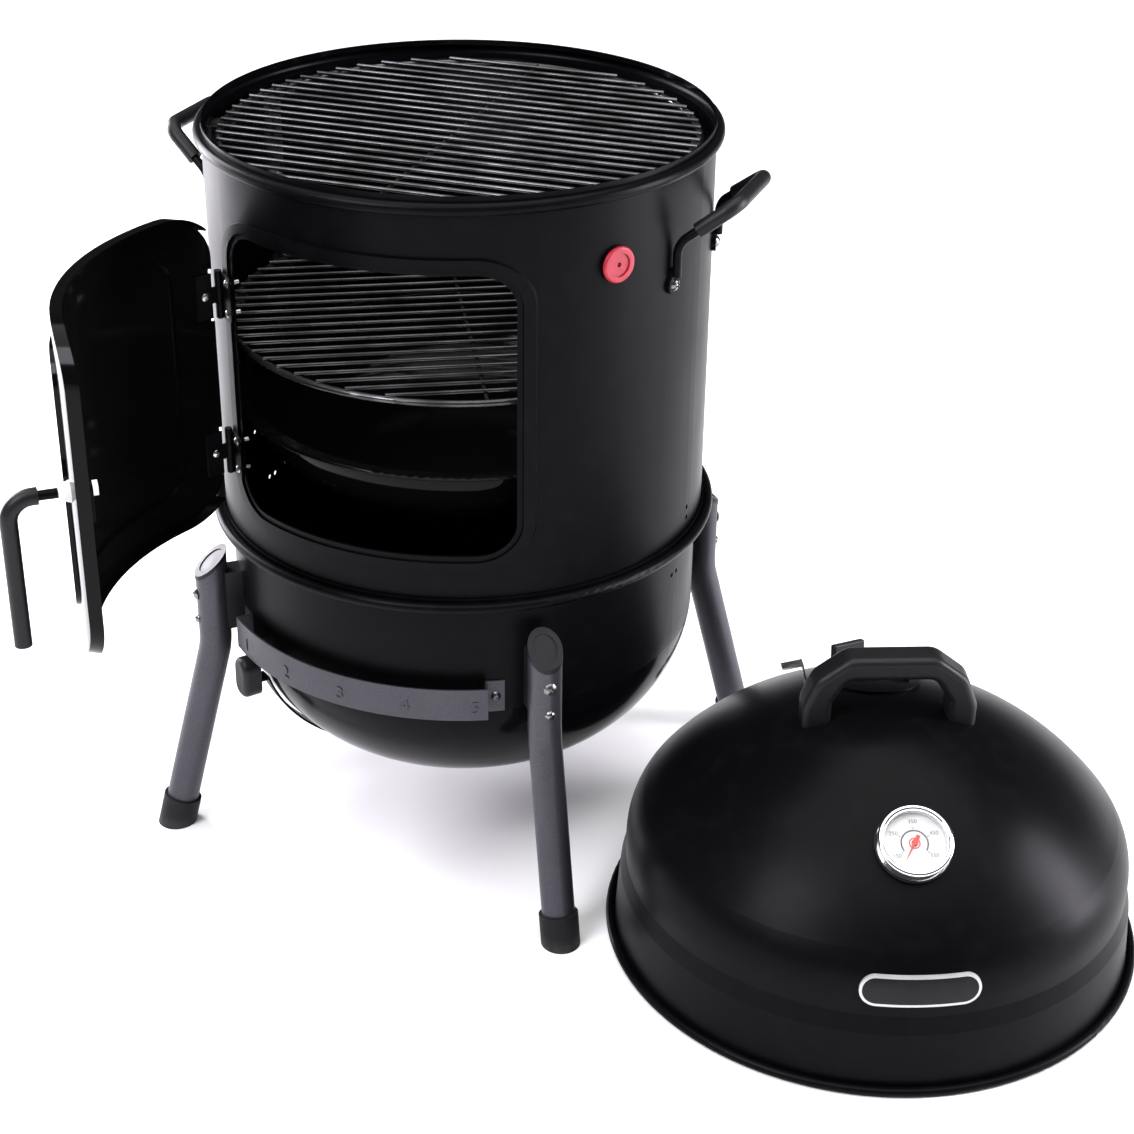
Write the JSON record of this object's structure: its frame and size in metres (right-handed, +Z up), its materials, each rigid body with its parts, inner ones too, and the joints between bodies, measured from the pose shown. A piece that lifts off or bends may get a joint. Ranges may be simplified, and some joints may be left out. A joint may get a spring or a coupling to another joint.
{
  "type": "vertical water smoker",
  "caption": "Upright charcoal water smoker: fire bowl on splayed legs, barrel with open curved door, wire grates, water pan, and a domed lid with thermometer standing beside it.",
  "frame": {"origin": "middle of the footprint of the whole object, smoker and lid beside it, on the floor", "axes": "+Z up; the barrel's door opening faces -Y; +X towards the lid on the floor"},
  "size_m": [0.8872, 0.6816, 0.637],
  "materials": {
    "black_enamel": "satin porcelain enamel",
    "gloss_enamel": "glossy porcelain enamel",
    "leg_grey": "dark metallic powder coat",
    "bar_silver": "satin",
    "zinc": "bright zinc plate",
    "plated_wire": "plated wire",
    "rubber_black": "matte",
    "plastic_black": "fine grained",
    "silicone_red": "satin",
    "bush_white": "smooth",
    "bezel_chrome": "polished",
    "dial_white": "satin",
    "needle_red": "satin",
    "lens_glass": "clear",
    "badge_grey": "satin plate with dark field"
  },
  "bodies": {
    "base": {"fire_bowl": "black_enamel", "leg_front_right": "leg_grey", "leg_front_left": "leg_grey", "leg_rear_right": "leg_grey", "leg_rear_left": "leg_grey", "boot_front_right": "rubber_black", "boot_front_left": "rubber_black", "boot_rear_right": "rubber_black", "boot_rear_left": "rubber_black", "leg_plugs": "plastic_black", "leg_spacers": "plastic_black", "bowl_screws": "zinc", "leg_nuts": "zinc", "damper_guide_band": "leg_grey", "damper_pivot_fasteners": "zinc", "charcoal_grate_supports": "zinc"},
    "bottom_damper": {"damper_disc": "zinc", "damper_lever": "zinc", "damper_knob": "plastic_black"},
    "coal_grate": {"charcoal_grate": "plated_wire"},
    "barrel": {"barrel_shell": "black_enamel", "grate_bracket_right_front": "zinc", "grate_bracket_right_rear": "zinc", "grate_bracket_left_front": "zinc", "grate_bracket_left_rear": "zinc", "side_handle_right": "leg_grey", "side_handle_left": "leg_grey", "side_grip_right": "plastic_black", "side_grip_left": "plastic_black", "handle_bolts": "zinc", "handle_nuts": "zinc", "probe_grommet": "silicone_red", "hinge_leaf_frame_upper": "zinc", "hinge_leaf_frame_lower": "zinc", "hinge_pins": "zinc", "hinge_screws_frame": "zinc"},
    "door": {"door_panel": "black_enamel", "hinge_leaf_door_upper": "zinc", "hinge_leaf_door_lower": "zinc", "hinge_screws_door": "zinc", "latch_bush": "bush_white"},
    "latch": {"latch_handle_rod": "zinc", "latch_grip": "plastic_black", "latch_cam": "zinc", "latch_nut": "zinc"},
    "pan": {"water_pan": "gloss_enamel"},
    "low_grate": {"lower_grate": "plated_wire"},
    "high_grate": {"top_grate": "plated_wire"},
    "lid": {"lid_shell": "black_enamel", "lid_handle": "plastic_black", "lid_screws": "zinc", "lid_hook": "zinc", "thermometer_bezel": "bezel_chrome", "thermometer_dial": "dial_white", "thermometer_lens": "lens_glass", "thermometer_stem": "zinc", "lid_badge": "badge_grey"},
    "lid_vent": {"lid_vent_disc": "zinc", "lid_vent_tab_cover": "plastic_black"},
    "gauge_needle": {"thermometer_needle": "needle_red"}
  },
  "joints": [
    {"name": "bottom_damper_turn", "type": "hinge", "parent": "base", "child": "bottom_damper", "pos_m": [-0.18945, 0.1135, 0.062], "axis": [0, 0, 1], "range_deg": [0, 60]},
    {"name": "charcoal_grate_lift", "type": "slide", "parent": "base", "child": "coal_grate", "axis": [0, 0, 1], "range_m": [0, 0.06]},
    {"name": "barrel_lift", "type": "slide", "parent": "base", "child": "barrel", "axis": [0, 0, 1], "range_m": [0, 0.12]},
    {"name": "door_hinge", "type": "hinge", "parent": "barrel", "child": "door", "pos_m": [-0.32699, -0.05071, 0.465], "axis": [0, 0, 1], "range_deg": [-53.5, 81.5]},
    {"name": "latch_turn", "type": "hinge", "parent": "door", "child": "latch", "pos_m": [-0.30803, -0.30483, 0.465], "axis": [-0.7547, -0.6561, 0], "range_deg": [0, 90]},
    {"name": "water_pan_lift", "type": "slide", "parent": "barrel", "child": "pan", "axis": [0, 0, 1], "range_m": [0, 0.045]},
    {"name": "lower_grate_lift", "type": "slide", "parent": "barrel", "child": "low_grate", "axis": [0, 0, 1], "range_m": [0, 0.1]},
    {"name": "top_grate_lift", "type": "slide", "parent": "barrel", "child": "high_grate", "axis": [0, 0, 1], "range_m": [0, 0.12]},
    {"name": "lid_lift", "type": "slide", "parent": "base", "child": "lid", "axis": [0, 0, 1], "range_m": [0, 0.1]},
    {"name": "lid_vent_turn", "type": "hinge", "parent": "lid", "child": "lid_vent", "pos_m": [0.19515, 0.08631, 0.20629], "axis": [-0.0976, 0.2193, 0.9708], "range_deg": [0, 60]},
    {"name": "gauge_needle_turn", "type": "hinge", "parent": "lid", "child": "gauge_needle", "pos_m": [0.27446, -0.09183, 0.17402], "axis": [0.2196, -0.4933, 0.8417], "range_deg": [-290, 0], "stiffness_Nm_per_rad": 0.0005}
  ]
}
